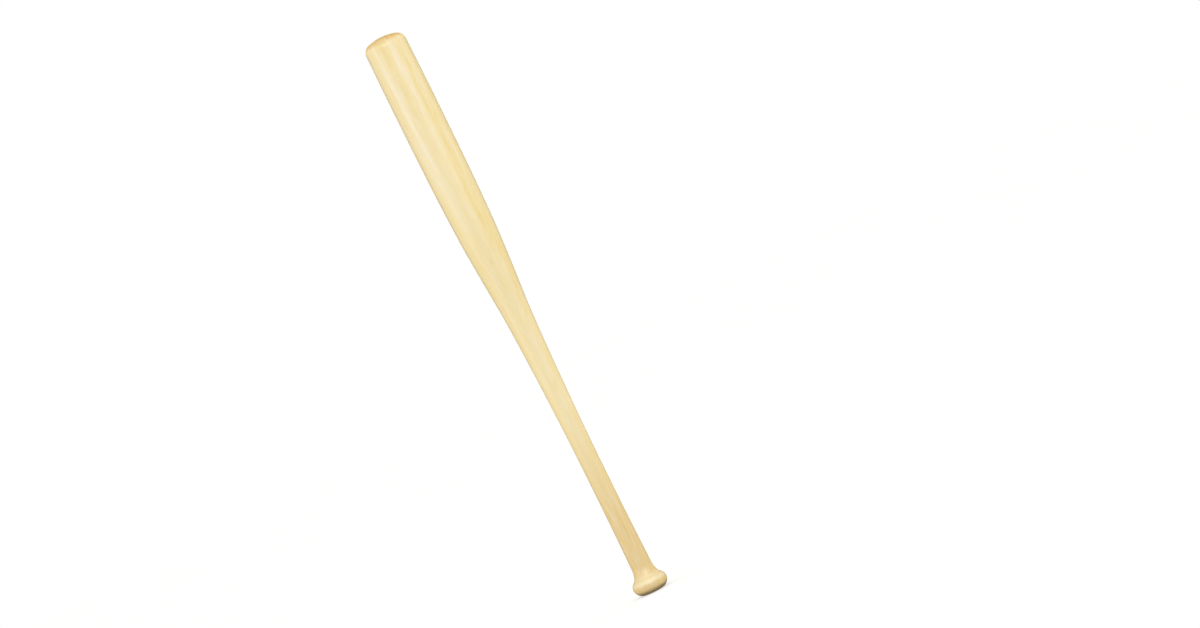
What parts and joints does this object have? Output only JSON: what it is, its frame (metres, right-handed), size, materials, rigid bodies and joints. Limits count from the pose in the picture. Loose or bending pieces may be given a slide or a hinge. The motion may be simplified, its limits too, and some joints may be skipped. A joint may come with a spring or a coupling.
{
  "type": "baseball bat",
  "caption": "Full-size wooden baseball bat, turned solid: domed barrel end, long taper, slim handle, hollow flare and rounded knob, in clear satin lacquer.",
  "frame": {"origin": "centre of the knob's flat end face, which is the lowest point of the bat", "axes": "+Z along the bat's axis from the knob to the barrel's end; the bat is round, so +X and +Y are any two directions across it, and -Y faces the viewer of the reference view"},
  "size_m": [0.0624, 0.0624, 0.864],
  "materials": {
    "lacquered_wood": "pale straight-grained wood under a clear satin lacquer"
  },
  "bodies": {
    "root": {"bat_body": "lacquered_wood"}
  },
  "joints": []
}
